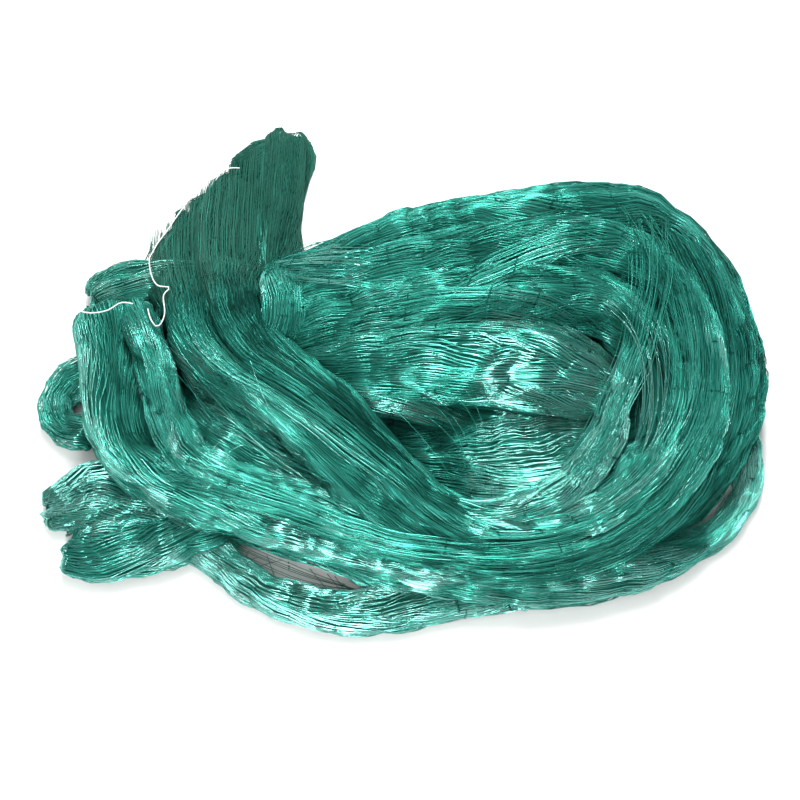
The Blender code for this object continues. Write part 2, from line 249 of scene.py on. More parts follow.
class Bunch:
    """A bunch of netting laid along a route, and the places on its surface.

    Lumps is how strongly its hanks stand out, ragged how unevenly its first end stops and
    scalloped how deep the bites in its right-hand edge are. A groove has its share of the
    way round, where it starts and stops along the bunch, and how deep and wide it is.
    """

    def __init__(self, name, rows, seed, lumps=1.0, ragged=0.0, scalloped=0.0, grooves=()):
        curve = curve_through(rows, ROUTE_POINTS)
        steps = np.linalg.norm(np.diff(curve[:, :3], axis=0), axis=1)
        self.run = np.concatenate(([0.0], np.cumsum(steps)))
        self.length = float(self.run[-1])
        ahead = np.gradient(curve[:, :3], axis=0)
        ahead /= np.linalg.norm(ahead, axis=1)[:, None]
        side = np.cross(ahead, (0.0, 0.0, 1.0))
        side /= np.linalg.norm(side, axis=1)[:, None]
        self.columns = np.hstack((curve, side, np.cross(side, ahead)))
        half_wide = curve[:, 3].mean() / 2
        half_thick = curve[:, 4].mean() / 2
        # The way round an ellipse, near enough.
        self.girth = math.pi * (1.5 * (half_wide + half_thick) - math.sqrt(half_wide * half_thick))
        self.name = name
        self.seed = seed
        self.lumps = lumps
        self.ragged = ragged
        self.scalloped = scalloped
        self.grooves = grooves

    def hills(self, kind, turn, s, layer=0):
        """Smooth random heights of one kind, this share of the way round and this far along."""
        number, height, across, along = HILLS[kind]
        rng = np.random.default_rng((self.seed, number + layer))
        columns = max(LEAST_HILLS, round(self.girth / across))
        rows = math.ceil((self.length + 2 * HILL_MARGIN) / along) + 3
        heights = rng.uniform(-HILL_SPREAD, HILL_SPREAD, (rows, columns))
        a = (turn % 1.0) * columns
        b = np.clip((s + HILL_MARGIN) / along + 0.5, 0.0, rows - 1.001)
        i = np.floor(a).astype(int)
        j = np.floor(b).astype(int)
        ta = blended(a - i)
        tb = blended(b - j)
        i %= columns
        near = heights[j, i] * (1 - ta) + heights[j, (i + 1) % columns] * ta
        far = heights[j + 1, i] * (1 - ta) + heights[j + 1, (i + 1) % columns] * ta
        return height * (near * (1 - tb) + far * tb)

    def row_hills(self, kind, turn, row, layer=0):
        """Random heights of one kind, smooth round the bunch but new in each row of meshes."""
        number, height, across = ROW_HILLS[kind]
        rng = np.random.default_rng((self.seed, number + layer))
        columns = max(LEAST_HILLS, round(self.girth / across))
        rows = math.ceil(self.length / MESH_ROW) + 2 * ROWS_BEYOND + 2
        heights = rng.uniform(-ROW_HILL_SPREAD, ROW_HILL_SPREAD, (rows, columns))
        a = (turn % 1.0) * columns
        i = np.floor(a).astype(int)
        ta = blended(a - i)
        j = np.clip(np.floor(row).astype(int) + ROWS_BEYOND, 0, rows - 1)
        i %= columns
        return height * (heights[j, i] * (1 - ta) + heights[j, (i + 1) % columns] * ta)

    def row_start(self, layer, turn, s):
        """How many mesh rows a layer's knots are ahead of plain ones there."""
        return LAYER_AHEAD * layer + self.hills("rows ahead", turn, s, layer)

    def relief(self, s, turn):
        """How far the bunch's hanks stand out or in, with its grooves."""
        hanks = HANK_HEIGHT * (1.0 - 2.0 * np.abs(self.hills("hanks", turn, s)))
        height = self.lumps * (hanks + self.hills("skeins", turn, s))
        for where, begin, end, deep, wide in self.grooves:
            off = ((turn - where + 0.5) % 1.0 - 0.5) * self.girth
            eased = blended(np.clip(np.minimum(s - begin, end - s) / GROOVE_EASE, 0.0, 1.0))
            height = height - deep * np.exp(-(off / wide) ** 2) * eased
        return height

    def slack(self, layer, turn, row):
        """How far a layer bellies out between its rows of knots, from 0 at the knots."""
        belly = BELLY + self.row_hills("belly", turn, row, layer)
        return self.lumps * belly * np.sin(np.pi * (row % 1.0))

    def layer_height(self, layer, s, turn, row):
        """How high a layer lies over the bunch's hanks."""
        return (
            self.hills("swell", turn, s, layer)
            + self.hills("ripple", turn, s, layer)
            + self.slack(layer, turn, row)
        )

    def spot(self, s, turn, out):
        """The points this far along, this share of the way round and this far out."""
        inside = np.clip(s, 0.0, self.length)
        angle = 2 * np.pi * turn
        notch = self.hills("notches", 0.25 + 0.2 * np.cos(angle), 0.0 * inside)
        near_end = np.clip(1.0 - inside / RAGGED_FOR, 0.0, 1.0)
        place = inside + self.ragged * (0.5 + 0.5 * notch) * near_end
        x, y, z, wide, thick, *ways = (
            np.interp(place, self.run, column) for column in self.columns.T
        )
        side = np.stack(ways[:3], -1)
        up = np.stack(ways[3:], -1)
        middle = np.stack((x, y, z), -1) - HEAP_MIDDLE
        to_end = np.clip(np.minimum(inside, self.length - inside) / END_ROUNDING, 0.0, 1.0)
        closing = np.sqrt(1.0 - (1.0 - to_end) ** 2)
        cos = np.sign(np.cos(angle)) * np.abs(np.cos(angle)) ** SQUARENESS
        sin = np.sign(np.sin(angle)) * np.abs(np.sin(angle)) ** SQUARENESS
        bite = self.scalloped * (0.5 + 0.5 * self.hills("bites", 0.0 * turn, inside))
        edge = wide / 2 + out - bite * np.clip(cos, 0.0, 1.0) ** 2
        across = cos * edge * (END_WIDTH + (1 - END_WIDTH) * closing)
        upward = sin * (thick / 2 + out) * closing
        return middle + side * across[..., None] + up * upward[..., None]

    def outward(self, s, turn):
        """Which way the surface faces there, near enough."""
        angle = 2 * np.pi * turn
        inside = np.clip(s, 0.0, self.length)
        ways = [np.interp(inside, self.run, column) for column in self.columns.T[5:]]
        side = np.stack(ways[:3], -1)
        up = np.stack(ways[3:], -1)
        return side * np.cos(angle)[..., None] + up * np.sin(angle)[..., None]

    def drawn_in(self, s):
        """Brings places beyond a folded end back over the rounding of that end."""
        reach = MESH_ROW + END_ROUNDING
        quarter = math.pi / 2
        near = np.cos(quarter * np.clip((s + MESH_ROW) / reach, 0.0, 1.0))
        far = np.cos(quarter * np.clip((self.length + MESH_ROW - s) / reach, 0.0, 1.0))
        inside = np.clip(s, END_ROUNDING, self.length - END_ROUNDING)
        return inside + END_ROUNDING * (far - near)


def lay(piece):
    """Fixes a finished piece to the net, which is one body."""
    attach(piece, "root")


def nylon(name, dark, middle, light, white):
    """Green nylon: the strand's own map says how pale it is, and how brown and dull. The paleness holds
    painted highlights and painted shade as well as the net's own uneven tone.

    Netting that is packed tightly shines like foil, and where it is thin it has no gloss.
    """
    finish = Finish(
        name, IOR=1.53, Specular_IOR_Level=0.20, Specular_Tint=(0.45, 1.00, 0.92, 1.0)
    )
    place = finish.node("ShaderNodeUVMap", settings={"uv_map": "OFBake"})
    tone = finish.node("ShaderNodeSeparateXYZ", Vector=place)
    warm = finish.node("ShaderNodeSeparateXYZ", output=1, Vector=place)
    green = finish.node(
        "ShaderNodeValToRGB",
        stops=((0.0, dark), (1.0, white), (0.5, middle), (0.82, light)),
        Fac=tone,
    )
    warmer = finish.node(
        "ShaderNodeMix",
        output=2,
        settings={"data_type": "RGBA", "blend_type": "MULTIPLY"},
        _0=warm,
        _6=green,
        _7=(1.25, 0.98, 0.88, 1.0),
    )
    gloss = finish.node(
        "ShaderNodeValToRGB",
        stops=((0.46, (0.80, 0.80, 0.80)), (0.82, (0.0, 0.0, 0.0))),
        Fac=warm,
    )
    thinner = finish.node(
        "ShaderNodeMix",
        output=2,
        settings={"data_type": "RGBA"},
        _0=0.9 - 1.2 * gloss,
        _6=warmer,
        _7=(0.014, 0.086, 0.060, 1.0),
    )
    finish.feed("Base Color", thinner)
    metal = gloss * (0.55 + 0.5 * tone)
    finish.feed("Metallic", metal)
    finish.feed("Roughness", 0.5 - 0.42 * metal)
    return finish.material


STRAND_NYLON = nylon(
    "strand_nylon",
    (0.0005, 0.036, 0.027),
    (0.032, 0.32, 0.254),
    (0.085, 0.48, 0.41),
    (0.26, 0.70, 0.64),
)


def core_shade_nylon():
    """The netting too deep to show as strands, painted dark as the shade inside the heap, with fine
    lines along it.
    """
    finish = Finish("core_shade_nylon", Roughness=0.6, IOR=1.5, Specular_IOR_Level=0.05)
    place = finish.node("ShaderNodeUVMap", settings={"uv_map": "OFBake"})
    lines = finish.node("ShaderNodeMapping", Vector=place, Scale=(170.0, 14.0, 1.0))
    fine = finish.node(
        "ShaderNodeTexNoise", settings={"noise_dimensions": "2D"}, Vector=lines, Detail=3.0,
        Roughness=0.6, Scale=1.0,
    )
    green = finish.node(
        "ShaderNodeValToRGB",
        stops=((0.30, (0.002, 0.04, 0.030)), (0.75, (0.010, 0.14, 0.105))),
        Fac=fine,
    )
    finish.feed("Base Color", green)
    finish.feed(
        "Normal",
        finish.node("ShaderNodeBump", Strength=0.6, Distance=0.0006, Height=fine),
    )
    return finish.material


CORE_SHADE_NYLON = core_shade_nylon()

# The inside of a bunch, painted dark as shade, which ends a little above the table: each a hair
# higher than the last, so that no two undersides lie in one plane.
CORE_ACROSS = 2.6
CORE_ALONG = 5.0
CORE_LEAST_SIDES = 16
CORE_LEAST_RINGS = 10
CORE_DEPTH = 2.0
CORE_SLACK = 0.6
CORE_FLOOR = 0.03
CORE_FLOOR_STEP = 0.02
cores = []


def core_of(bunch):
    """The inside of a bunch: a ball drawn out along the route, with the bunch's hanks."""
    sides = max(CORE_LEAST_SIDES, round(bunch.girth / CORE_ACROSS))
    rings = max(CORE_LEAST_RINGS, round(bunch.length / CORE_ALONG))
    bpy.ops.object.select_all(action="DESELECT")
    bpy.ops.mesh.primitive_uv_sphere_add(segments=sides, ring_count=rings, radius=1.0)
    core = bpy.context.object
    core.name = bunch.name + "_core"
    core.data.name = core.name
    core.data.uv_layers[0].name = "OFBake"
    ball = np.empty(len(core.data.vertices) * 3)
    core.data.vertices.foreach_get("co", ball)
    ball = ball.reshape(-1, 3)
    down = np.arccos(np.clip(ball[:, 2], -1.0, 1.0)) / np.pi
    s = down * bunch.length
    turn = np.arctan2(ball[:, 1], ball[:, 0]) / (2 * np.pi)
    row = s / MESH_ROW + bunch.row_start(0, turn, s)
    relief = bunch.relief(s, turn) + CORE_SLACK * bunch.slack(0, turn, row)
    at = bunch.spot(s, turn, relief - CORE_DEPTH)
    at[:, 2] = np.maximum(at[:, 2], CORE_FLOOR + CORE_FLOOR_STEP * bunch.seed)
    core.data.vertices.foreach_set("co", (at * MM).ravel())
    bpy.ops.object.mode_set(mode="EDIT")
    bpy.ops.mesh.select_all(action="SELECT")
    bpy.ops.mesh.normals_make_consistent(inside=False)
    bpy.ops.object.mode_set(mode="OBJECT")
    bpy.ops.object.shade_smooth()
    core.data.materials.append(CORE_SHADE_NYLON)
    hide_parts("netting")
    lay(core)
    cores.append(core)


# A strand's tube, with its flat side up, and the knots on it.
STRAND_RADIUS = 0.22
STRAND_SECTION = ((0.87, 0.5), (-0.87, 0.5), (0.0, -1.2))
TURNED_UP = 0.7
FACING_DOWN = -0.3
KNOT_LENGTH = 1.4
KNOT_RADIUS = 0.3
KNOT_HEIGHT = 0.3
KNOT_AND_SHADE_TONE = 0.06
CORNER_WARMTH = (-0.02, 0.0, 0.02)
CHART_ENDS = (0.01, 0.99)


class Strands:
    """Strands that are gathered up to be made into one mesh."""

    def __init__(self):
        self.runs = []
        self.tops = []
        self.tones = []
        self.warms = []
        self.radii = []

    def add(self, run, top, tone, warm, radius):
        self.runs.append(run)
        self.tops.append(top)
        self.tones.append(np.broadcast_to(tone, len(run)))
        self.warms.append(np.broadcast_to(warm, len(run)))
        self.radii.append(np.full(len(run), radius))

    def add_knot(self, at, ahead, top, warm):
        """A knot, which shows as a short dark bar across its strand: the knot's own thicker nylon, with
        painted shade of the dip at the knot.
        """
        across = np.cross(ahead, top)
        across *= KNOT_LENGTH / 2 / np.linalg.norm(across)
        middle = at + KNOT_HEIGHT * top
        bar = np.array((middle - across, middle + across))
        self.add(bar, np.array((top, top)), KNOT_AND_SHADE_TONE, warm, KNOT_RADIUS)

    def made(self, name):
        """One mesh of three-sided tubes, a flat side outwards, closed at both ends."""
        sizes = np.array([len(run) for run in self.runs])
        points = np.concatenate(self.runs)
        first = np.concatenate(([0], np.cumsum(sizes)[:-1]))
        last = first + sizes - 1
        ahead = np.gradient(points, axis=0)
        ahead[first] = points[first + 1] - points[first]
        ahead[last] = points[last] - points[last - 1]
        ahead /= np.linalg.norm(ahead, axis=1)[:, None] + 1e-12
        tops = np.concatenate(self.tops)
        tops[:, 2] += np.where(tops[:, 2] > FACING_DOWN, TURNED_UP, 0.0)
        side = np.cross(ahead, tops)
        side /= np.linalg.norm(side, axis=1)[:, None] + 1e-12
        up = np.cross(side, ahead)
        reach = np.concatenate(self.radii)[:, None]
        corners = [points + reach * (x * side + y * up) for x, y in STRAND_SECTION]
        places = np.stack(corners, 1).reshape(-1, 3)
        here = np.setdiff1d(np.arange(len(points)), last)
        faces = []
        for corner in range(3):
            after = (corner + 1) % 3
            faces.append(np.stack((
                3 * here + corner, 3 * here + after,
                3 * here + 3 + after, 3 * here + 3 + corner,
            ), 1).ravel())
        faces.append(np.stack((3 * first + 2, 3 * first + 1, 3 * first), 1).ravel())
        faces.append(np.stack((3 * last, 3 * last + 1, 3 * last + 2), 1).ravel())
        faces = np.concatenate(faces)
        counts = np.concatenate((np.full(3 * len(here), 4), np.full(2 * len(first), 3)))
        mesh = bpy.data.meshes.new(name)
        mesh.vertices.add(len(places))
        mesh.vertices.foreach_set("co", (places * MM).ravel())
        mesh.loops.add(len(faces))
        mesh.loops.foreach_set("vertex_index", faces)
        mesh.polygons.add(len(counts))
        mesh.polygons.foreach_set("loop_start", np.concatenate(([0], np.cumsum(counts)[:-1])))
        mesh.polygons.foreach_set("use_smooth", np.ones(len(counts), bool))
        mesh.update(calc_edges=True)
        tone = np.repeat(np.concatenate(self.tones), 3)
        # The corners differ a little, so that each face has a place of its own in the map.
        warm = np.repeat(np.concatenate(self.warms), 3) + np.tile(CORNER_WARMTH, len(points))
        chart = np.clip(np.stack((tone, warm), 1), *CHART_ENDS)
        mesh.uv_layers.new(name="OFBake").uv.foreach_set("vector", chart[faces].ravel())
        mesh.materials.append(STRAND_NYLON)
        piece = bpy.data.objects.new(name, mesh)
        bpy.context.scene.collection.objects.link(piece)
        lay(piece)


# How close the strands lie and how unevenly, layer by layer.
STRAND_DRAW = 77
LAYERS = 3
LAYER_SLANTS = (0.0, 0.08, -0.08)
STRAND_SPACING = 0.72
STEPS_TO_A_MESH = 3
STRAND_STEP = MESH_ROW / STEPS_TO_A_MESH
STEPS_BEYOND = 7
SHORTEST = 4
UNEVEN_SPACING = 0.3
UNEVEN_ROWS = 0.5
UNEVEN_HEIGHT = 0.25
ZIGZAG = 0.3
BEDDED = 0.8

# Which of them show: one that lies this far under another layer is covered, and
# the underside has one layer. A bunch whose strands are made deeper down than
# SEEN_FROM_ABOVE has them only where they face up.
COVERED = 1.3
OFF_THE_TABLE = 0.3
STRAIGHT_DOWN = 0.75
UNDERNEATH = 0.17
SEEN_FROM_ABOVE = 6.0

# How pale and how brown they are. Raised strands are painted paler as highlight, and buried or creased
# ones darker as shade.
TONE_SPREAD = 0.13
WARM_SPREAD = 0.12
RAISED_HIGHLIGHT = 0.07
BURIED_SHADE = 0.035
CREASE_SHADE = 0.045

cad_netting = BVHTree.FromObject(
    bpy.data.objects["netting"], bpy.context.evaluated_depsgraph_get()
)


def buried(points):
    """How deep each point is inside the heap, in millimetres."""
    depth = np.empty(len(points))
    for i, point in enumerate(points * MM):
        near, normal, _, _ = cad_netting.find_nearest(point)
        depth[i] = (near - Vector(point)).dot(normal) / MM
    return depth


def strands_of(bunch, spacing=STRAND_SPACING, tone=0.5, warm=0.3, knots=0.45, deepest=2.2):
    """The strands that show on a bunch, in layers that lie over and under each other.

    Tone is how pale they are and warm how brown, knots is the share of them that shows,
    and strands that are deeper than deepest inside the heap are left out.
    """
    rng = np.random.default_rng((bunch.seed, STRAND_DRAW))
    count = round(bunch.girth / spacing)
    steps = round(STEPS_TO_A_MESH * bunch.length / MESH_ROW) + STEPS_BEYOND
    rows = np.arange(-STEPS_BEYOND, steps + 1) * STRAND_STEP / MESH_ROW
    gathered = Strands()
    for layer in range(LAYERS):
        base = np.arange(count) + rng.uniform(-UNEVEN_SPACING, UNEVEN_SPACING, count)
        base /= count
        turn0, row = np.meshgrid(base, rows, indexing="ij")
        raw = MESH_ROW * (row - bunch.row_start(layer, turn0, MESH_ROW * row))
        raw += rng.normal(0.0, UNEVEN_ROWS, count)[:, None]
        along = bunch.drawn_in(raw)
        belly = np.sin(np.pi * (row % 1.0))
        sideways = LAYER_SLANTS[layer] * (along - bunch.length / 2)
        sideways += bunch.hills("sway", turn0, along, layer)
        sideways += bunch.hills("wander", turn0, along, layer)
        sideways += belly * bunch.row_hills("gather", turn0, row, layer)
        sideways += belly * bunch.row_hills("part", turn0, row, layer)
        # Neighbours lean together at one row of knots and apart at the next.
        flip = np.where(np.arange(count) % 2, 1.0, -1.0)[:, None]
        sideways += ZIGZAG * flip * np.cos(np.pi * row)
        turn = turn0 + sideways / bunch.girth
        own = bunch.layer_height(layer, along, turn, row)
        shown = (raw > -MESH_ROW - STRAND_STEP) & (raw < bunch.length + MESH_ROW + STRAND_STEP)
        for other in range(LAYERS):
            if other != layer:
                other_row = along / MESH_ROW + bunch.row_start(other, turn, along)
                shown &= own > bunch.layer_height(other, along, turn, other_row) - COVERED
        lift = rng.uniform(-UNEVEN_HEIGHT, UNEVEN_HEIGHT, count)[:, None]
        points = bunch.spot(along, turn, bunch.relief(along, turn) + own + lift - BEDDED)
        top = bunch.outward(along, turn)
        plain = bunch.spot(along, turn, 0.0 * along).reshape(-1, 3)
        depth = buried(plain).reshape(shown.shape)
        shown &= (depth < deepest) & (points[..., 2] > OFF_THE_TABLE)
        points[..., 2] = np.maximum(points[..., 2], OFF_THE_TABLE)
        if layer > 0:
            shown &= np.abs(turn % 1.0 - STRAIGHT_DOWN) > UNDERNEATH
        if deepest > SEEN_FROM_ABOVE:
            shown &= top[..., 2] > 0.0
        strand_tone = along_it(tone, along) + rng.normal(0.0, TONE_SPREAD, count)[:, None]
        # Painted light and shade: higher strands are paler, and strands buried in the heap or lying in
        # grooves are darker.
        strand_tone = strand_tone + RAISED_HIGHLIGHT * own - BURIED_SHADE * np.clip(depth, 0.0, 3.0)
        strand_tone += CREASE_SHADE * np.minimum(bunch.relief(along, turn), 0.0)
        strand_tone += bunch.row_hills("shade", turn, row, layer)
        strand_warm = along_it(warm, along) + rng.normal(0.0, WARM_SPREAD, count)[:, None]
        knotted = shown & (np.abs(row % 1.0) < 0.01)
        knotted &= bunch.row_hills("knots", turn, row, layer) > 1.0 - 2.0 * knots
        for i in range(count):
            edges = np.flatnonzero(np.diff(np.concatenate(([0], shown[i], [0]))))
            for begin, end in zip(edges[::2], edges[1::2]):
                begin = max(begin - 1, 0)
                end = min(end + 1, len(rows))
                if end - begin < SHORTEST:
                    continue
                gathered.add(
                    points[i, begin:end], top[i, begin:end],
                    strand_tone[i, begin:end], strand_warm[i, begin:end], STRAND_RADIUS,
                )
            for j in np.flatnonzero(knotted[i, :-1]):
                ahead = points[i, j + 1] - points[i, j]
                gathered.add_knot(points[i, j], ahead, top[i, j], strand_warm[i, j])
    gathered.made(bunch.name + "_strands")


HEART = (
    # x    y   z  wide thick
    (-66, 22, 14, 60, 38),
    (-20, 12, 16, 120, 44),
    (40, 2, 18, 170, 46),
    (100, 0, 18, 176, 46),
    (148, 4, 16, 132, 42),
    (182, 4, 12, 66, 34),
)

heart = Bunch("heart", HEART, seed=1)
core_of(heart)
# Painted shade: the heart's strands are nearly black-green, as the shade under everything else.
strands_of(heart, spacing=2.4, tone=0.05)


# -------------------------------------------------------------------- the crown
# The outermost bight of the oval, which runs along the back and down the
# right side. It is one bunch of the same netting, pulled out lengthways.

CROWN = (
    # x    y   z  wide thick
    (-76, 56, 22, 34, 48),
    (-46, 62, 28, 42, 56),
    (-10, 75, 32, 48, 64),
    (30, 85, 33, 50, 66),
    (70, 92, 33, 50, 66),
    (110, 99, 33, 50, 64),
    (146, 96, 31, 48, 62),
    (174, 72, 29, 46, 58),
    (190, 38, 27, 44, 54),
    (198, 4, 25, 44, 50),
    (197, -26, 22, 36, 44),
    (185, -54, 19, 26, 36),
    (162, -80, 18, 22, 32),
    (132, -99, 18, 20, 28),
    (100, -108, 19, 16, 24),
)

crown = Bunch("crown", CROWN, seed=2)
core_of(crown)
strands_of(crown, tone=((0, 0.44), (240, 0.40), (300, 0.2)))


# ----------------------------------------------------------------- the shoulder
# The second bight, inside the first and a little higher. It is the same
# netting, and it leans on the crown.

SHOULDER = (
    # x    y   z  wide thick
    (-78, 38, 28, 32, 44),
    (-46, 46, 37, 42, 54),
    (-10, 56, 43, 48, 58),
    (30, 64, 46, 48, 60),
    (70, 70, 47, 48, 60),
    (108, 73, 46, 46, 58),
    (140, 66, 44, 44, 56),
    (164, 44, 42, 38, 54),
    (176, 12, 40, 36, 52),
    (175, -24, 37, 34, 50),
    (163, -56, 34, 30, 46),
    (138, -86, 31, 28, 42),
    (106, -102, 29, 26, 40),
    (70, -109, 28, 25, 38),
    (34, -107, 28, 25, 36),
    (2, -95, 28, 24, 34),
)

shoulder = Bunch("shoulder", SHOULDER, seed=3)
core_of(shoulder)
strands_of(shoulder, tone=((0, 0.36), (330, 0.34), (400, 0.5)))


# ------------------------------------------------------------------- the saddle
# The third bight, which is the top of the heap. Its strands come over the
# heap from the left and turn down at the right.

SADDLE = (
    # x    y   z  wide thick
    (-66, 20, 36, 34, 42),
    (-32, 27, 44, 42, 50),
    (10, 34, 50, 46, 54),
    (50, 40, 53, 46, 54),
    (90, 42, 53, 44, 54),
    (122, 36, 51, 38, 50),
    (146, 14, 47, 32, 48),
    (155, -14, 44, 30, 46),
    (149, -48, 42, 28, 44),
    (128, -79, 40, 28, 42),
    (97, -96, 38, 26, 40),
    (62, -100, 36, 26, 40),
    (28, -92, 36, 26, 38),
    (0, -72, 36, 26, 36),
)

SADDLE_GROOVES = (
    # way round, from, to, deep, wide
    (0.15, 206, 304, 22, 11),
    (0.38, 352, 466, 15, 7),
)

saddle = Bunch("saddle", SADDLE, seed=4, grooves=SADDLE_GROOVES)
core_of(saddle)
strands_of(saddle, tone=((0, 0.44), (310, 0.46), (360, 0.78)))


# --------------------------------------------------------------------- the brow
# The band of netting over the pocket, full at the top and turned in below.
# It is part of the same net, and its end is tucked under the inner bight.

BROW = (
    # x    y   z  wide thick
    (-58, 2, 34, 32, 38),
    (-24, 2, 43, 47, 46),
    (18, 4, 51, 57, 42),
    (58, 3, 54, 60, 36),
    (86, -3, 54, 58, 34),
    (106, -9, 49, 46, 32),
    (121, -13, 38, 32, 28),
)

brow = Bunch("brow", BROW, seed=5)
core_of(brow)
# Painted highlight: its strands are paler from 90 mm along to its end.
strands_of(brow, tone=((0, 0.45), (90, 0.6), (120, 0.95), (180, 0.9)), deepest=20)


# ---------------------------------------------------------------------- the lip
# The lower edge of that band, a fold of the same netting that turns down
# into the pocket and lies on the pocket's floor.

LIP = (
    # x    y   z  wide thick
    (-56, -6, 32, 28, 34),
    (-28, -12, 41, 34, 34),
    (0, -17, 43, 32, 32),
    (26, -22, 36, 28, 28),
    (48, -28, 26, 24, 24),
)

lip = Bunch("lip", LIP, seed=6)
core_of(lip)
strands_of(lip, tone=0.62)


# ------------------------------------------------------------------- the pocket
# The netting on the floor of the pocket, in the middle of the heap. Its
# strands lie straight across, held down by the bights all round it.

POCKET = (
    # x    y   z  wide thick
    (-6, -44, 16, 46, 38),
    (36, -46, 20, 80, 38),
    (72, -50, 29, 80, 38),
    (106, -46, 29, 72, 36),
    (136, -34, 16, 50, 32),
)

pocket = Bunch("pocket", POCKET, seed=7, lumps=0.8)
core_of(pocket)
# Painted shade and highlight: the floor is dark at its left end and palest from 58 to 98 mm along.
strands_of(
    pocket, deepest=20,
    tone=((0, 0.08), (46, 0.18), (58, 1.0), (98, 1.0), (112, 0.85), (130, 0.7)),
)


# -------------------------------------------------------------- the inner bight
# The inner bight, which closes the pocket on the right and in front. It is
# the same netting, drawn together tighter and laid over the bands' ends.

INNER = (
    # x    y   z  wide thick
    (152, 84, 38, 20, 26),
    (150, 48, 48, 21, 28),
    (141, 12, 54, 18, 30),
    (128, -22, 50, 18, 32),
    (117, -50, 46, 22, 32),
    (94, -76, 44, 23, 31),
    (61, -88, 43, 23, 31),
    (30, -84, 40, 23, 30),
    (4, -68, 37, 22, 29),
    (-20, -46, 31, 20, 26),
    (-42, -24, 24, 18, 22),
)

inner = Bunch("inner", INNER, seed=8, grooves=((0.42, 70, 128, 6, 5),))
core_of(inner)
# Painted highlight: its strands are palest from about 105 to 200 mm along.
strands_of(
    inner, deepest=12,
    tone=((0, 0.2), (80, 0.35), (105, 0.9), (135, 1.05), (200, 0.9), (250, 0.4)),
)


# ---------------------------------------------------------------- the loose end
# The flattened loose end of the net at the back left. Its netting is only a
# few layers thick there, so it looks dull, and its folded edge is ragged.

FAN_SHEET = (
    # x    y   z  wide thick
    (-70, 182, 3, 24, 7),
    (-74, 166, 3, 40, 7),
    (-87, 146, 3, 58, 8),
    (-98, 122, 4, 72, 10),
    (-107, 98, 6, 86, 14),
    (-106, 70, 10, 84, 22),
)

fan_sheet = Bunch("fan_sheet", FAN_SHEET, seed=9, lumps=0.5, ragged=9, scalloped=7)
core_of(fan_sheet)
strands_of(fan_sheet, tone=0.3, warm=0.9, knots=0.05)


# ---------------------------------------------- the right fold of the loose end
# The right fold of the loose end, where the flattened netting is gathered
# again. It goes down under the slanting band, held by the weight on it.

FAN_RIGHT = (
    # x    y   z  wide thick
    (-71, 185, 4, 31, 10),
    (-73, 150, 5, 32, 12),
    (-77, 118, 7, 34, 16),
    (-80, 88, 10, 34, 22),
    (-82, 60, 13, 32, 28),
    (-82, 36, 16, 28, 32),
)

fan_right = Bunch("fan_right", FAN_RIGHT, seed=10, lumps=0.5, ragged=6, grooves=((0.5, -30, 90, 4, 12),))
core_of(fan_right)
# Painted shadow: its strands are nearly black-green, as the shadow at the flap's right edge, and brown
# where the table shows through the thin netting.
strands_of(fan_right, tone=0.04, warm=0.95, knots=0.05)


# --------------------------------------------- the middle fold of the loose end
# The middle fold, which climbs over the others and becomes the slanting
# band that crosses the heap.

FAN_MIDDLE = (
    # x    y   z  wide thick
    (-100, 154, 4, 24, 10),
    (-104, 132, 6, 42, 15),
    (-106, 102, 11, 50, 26),
    (-105, 72, 18, 44, 42),
    (-101, 46, 28, 38, 54),
    (-91, 22, 38, 34, 54),
    (-69, -3, 48, 32, 46),
    (-41, -27, 51, 32, 44),
    (-13, -56, 48, 30, 44),
    (16, -84, 40, 28, 42),
    (52, -103, 32, 26, 38),
    (92, -110, 26, 22, 32),
)

fan_middle = Bunch("fan_middle", FAN_MIDDLE, seed=11, lumps=0.8, ragged=9)
core_of(fan_middle)
strands_of(
    fan_middle, knots=0.2, warm=((0, 0.9), (90, 0.8), (150, 0.35)),
    tone=((0, 0.25), (80, 0.08), (130, 0.1), (165, 0.38), (192, 0.3), (225, 0.12), (270, 0.35)),
)


# ----------------------------------------------- the left fold of the loose end
# The left fold of the loose end, which is the lower half of the slanting
# band. It lies against the middle fold, on top of the hollow's netting.

FAN_LEFT = (
    # x    y   z  wide thick
    (-131, 126, 4, 18, 10),
    (-135, 106, 5, 32, 14),
    (-137, 82, 9, 44, 24),
    (-134, 54, 18, 42, 40),
    (-127, 26, 28, 36, 50),
    (-111, 4, 36, 32, 48),
    (-86, -15, 42, 31, 44),
    (-60, -37, 43, 31, 44),
    (-34, -63, 40, 30, 42),
    (-9, -88, 34, 29, 40),
    (22, -106, 28, 26, 34),
    (62, -115, 23, 22, 30),
)

fan_left = Bunch("fan_left", FAN_LEFT, seed=12, lumps=0.8, ragged=9, scalloped=4)
core_of(fan_left)
strands_of(
    fan_left, knots=0.25, warm=((0, 0.9), (70, 0.8), (120, 0.3)),
    tone=((0, 0.25), (80, 0.12), (110, 0.4), (135, 0.85), (190, 0.8), (230, 0.5)),
)


# ----------------------------------------------------- the fold behind the hank
# The layer of netting that is turned over behind the left hank, and shows
# there as a blunt fold with a ragged edge.

BACK_FOLD = (
    # x    y   z  wide thick
    (-193, 55, 10, 28, 22),
    (-175, 65, 11, 36, 26),
    (-148, 67, 12, 36, 28),
    (-120, 62, 14, 34, 30),
    (-96, 50, 16, 30, 34),
)

back_fold = Bunch("back_fold", BACK_FOLD, seed=13, ragged=5)
core_of(back_fold)
strands_of(back_fold, tone=0.72, warm=0.6)


# ---------------------------------------------------------------- the left hank
# The hank that hangs over at the left, and then the outermost turn, along
# the front and up the right side.

